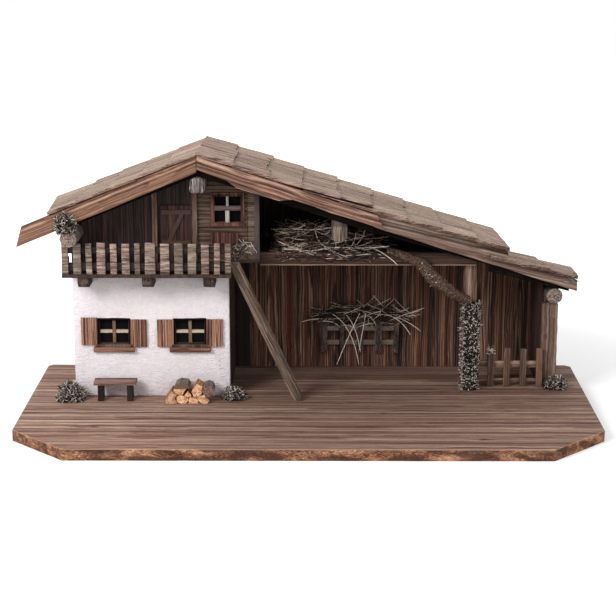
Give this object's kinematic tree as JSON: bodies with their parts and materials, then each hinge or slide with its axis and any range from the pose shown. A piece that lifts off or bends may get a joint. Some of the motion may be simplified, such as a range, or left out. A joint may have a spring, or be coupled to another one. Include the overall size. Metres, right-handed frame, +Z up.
{
  "type": "nativity stable",
  "caption": "Alpine farmhouse with balcony, ladder and open barn under a shingled roof, on a wooden board, to stand nativity figures in",
  "frame": {"origin": "middle of the underside of the base board, which stands on a table or shelf", "axes": "+X to the right as seen from the front, +Y towards the back wall, +Z up"},
  "size_m": [0.904, 0.448, 0.4229],
  "materials": {
    "board_wood": "stained grey brown, matt",
    "plaster": "rough white plaster",
    "shutter_wood": "stained warm brown, striped grain",
    "dark_wood": "dark stained planks",
    "tan_wood": "stained tan",
    "red_wood": "stained reddish brown",
    "railing_wood": "weathered grey beige",
    "barn_wood": "dark stained planks with reddish streaks",
    "post_wood": "weathered grey brown",
    "bench_wood": "stained brown",
    "split_wood": "fresh split wood with bark",
    "bark": "rough bark",
    "barge_wood": "weathered reddish brown boards",
    "shingle_wood": "weathered pinkish tan shingles",
    "hay": "dry straw",
    "lichen": "grey green lichen"
  },
  "bodies": {
    "root": {"base_board": "board_wood", "house_wall_front": "plaster", "house_wall_left": "plaster", "house_wall_right": "dark_wood", "window_left": "shutter_wood", "window_right": "shutter_wood", "window_sill_left": "shutter_wood", "window_sill_right": "shutter_wood", "shutter_left_a": "shutter_wood", "shutter_left_b": "shutter_wood", "shutter_right_a": "shutter_wood", "shutter_right_b": "shutter_wood", "upper_floor": "dark_wood", "gable_wall": "dark_wood", "log_wall": "tan_wood", "attic_window": "red_wood", "flower_box": "red_wood", "balcony_door": "red_wood", "door_post_left": "dark_wood", "door_post_right": "dark_wood", "corner_post": "tan_wood", "upper_wall_left": "dark_wood", "upper_wall_right": "dark_wood", "balcony_railing": "railing_wood", "balcony_beam_1": "dark_wood", "balcony_beam_2": "dark_wood", "balcony_beam_3": "dark_wood", "back_wall": "barn_wood", "loft_floor": "dark_wood", "loft_beam": "dark_wood", "square_post": "post_wood", "lean_to_post": "post_wood", "lean_to_wall": "barn_wood", "lichen_on_post": "lichen", "branch": "bark", "picket_fence": "post_wood", "ladder": "post_wood", "hay_rack": "post_wood", "rack_hay": "hay", "loft_hay": "hay", "bench": "bench_wood", "log_pile": "split_wood", "lichen_house_left": "lichen", "lichen_house_right": "lichen", "lichen_lean_to_post": "lichen", "lichen_eave_log": "lichen", "lichen_balcony": "lichen", "ridge_beam": "post_wood", "middle_beam": "post_wood", "eave_log_left": "bark", "eave_log_right": "bark", "barge_board_left": "barge_wood", "barge_board_right": "barge_wood", "barge_board_rear": "barge_wood", "roof_deck_left": "dark_wood", "roof_deck_right": "dark_wood", "roof_deck_lean_to": "dark_wood", "shingles_left": "shingle_wood", "shingles_right": "shingle_wood", "shingles_lean_to": "shingle_wood"}
  },
  "joints": []
}
